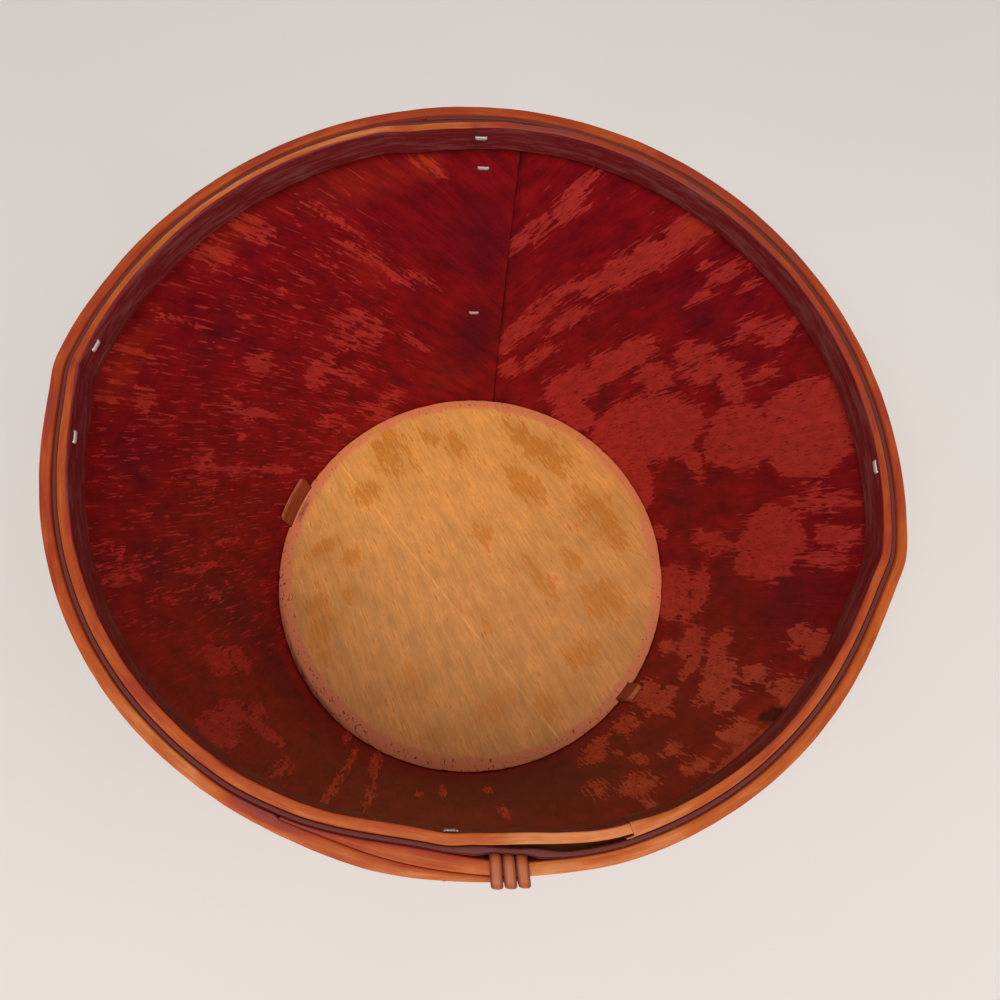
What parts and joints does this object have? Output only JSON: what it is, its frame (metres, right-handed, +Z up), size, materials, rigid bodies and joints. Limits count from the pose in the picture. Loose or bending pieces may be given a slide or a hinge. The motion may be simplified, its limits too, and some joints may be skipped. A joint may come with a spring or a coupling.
{
  "type": "veneer measuring basket",
  "caption": "Round tapered basket of rolled wood veneer with a flat board bottom, an inner and an outer rim hoop, and a cane lashing at the hoop's lap.",
  "frame": {"origin": "middle of the bottom board's underside", "axes": "+Z up through the open rim; -Y towards the cane lashing on the outer hoop's lap; +X to its right as seen from the front"},
  "size_m": [0.3065, 0.2967, 0.1932],
  "materials": {
    "red_stained_veneer": "worn dark red stain over thin rolled veneer",
    "bare_board_wood": "bare tan softwood with rough edges",
    "varnished_hoop_wood": "worn orange brown stain",
    "reddened_key_wood": "reddish brown, rubbed",
    "split_cane": "smooth split cane with a slight shine",
    "tinned_steel_wire": "dull tinned wire"
  },
  "bodies": {
    "root": {"wall_sheet": "red_stained_veneer", "bottom_board": "bare_board_wood", "outer_hoop": "varnished_hoop_wood", "inner_hoop": "varnished_hoop_wood", "cane_lashing": "split_cane", "board_key_left": "reddened_key_wood", "board_key_right": "reddened_key_wood", "board_nail_1": "tinned_steel_wire", "board_nail_2": "tinned_steel_wire", "board_nail_3": "tinned_steel_wire", "board_nail_4": "tinned_steel_wire", "board_nail_5": "tinned_steel_wire", "board_nail_6": "tinned_steel_wire", "board_nail_7": "tinned_steel_wire", "board_nail_8": "tinned_steel_wire", "hoop_staple_1": "tinned_steel_wire", "hoop_staple_2": "tinned_steel_wire", "hoop_staple_3": "tinned_steel_wire", "hoop_staple_4": "tinned_steel_wire", "hoop_staple_5": "tinned_steel_wire", "seam_staple_1": "tinned_steel_wire", "seam_staple_2": "tinned_steel_wire"}
  },
  "joints": []
}
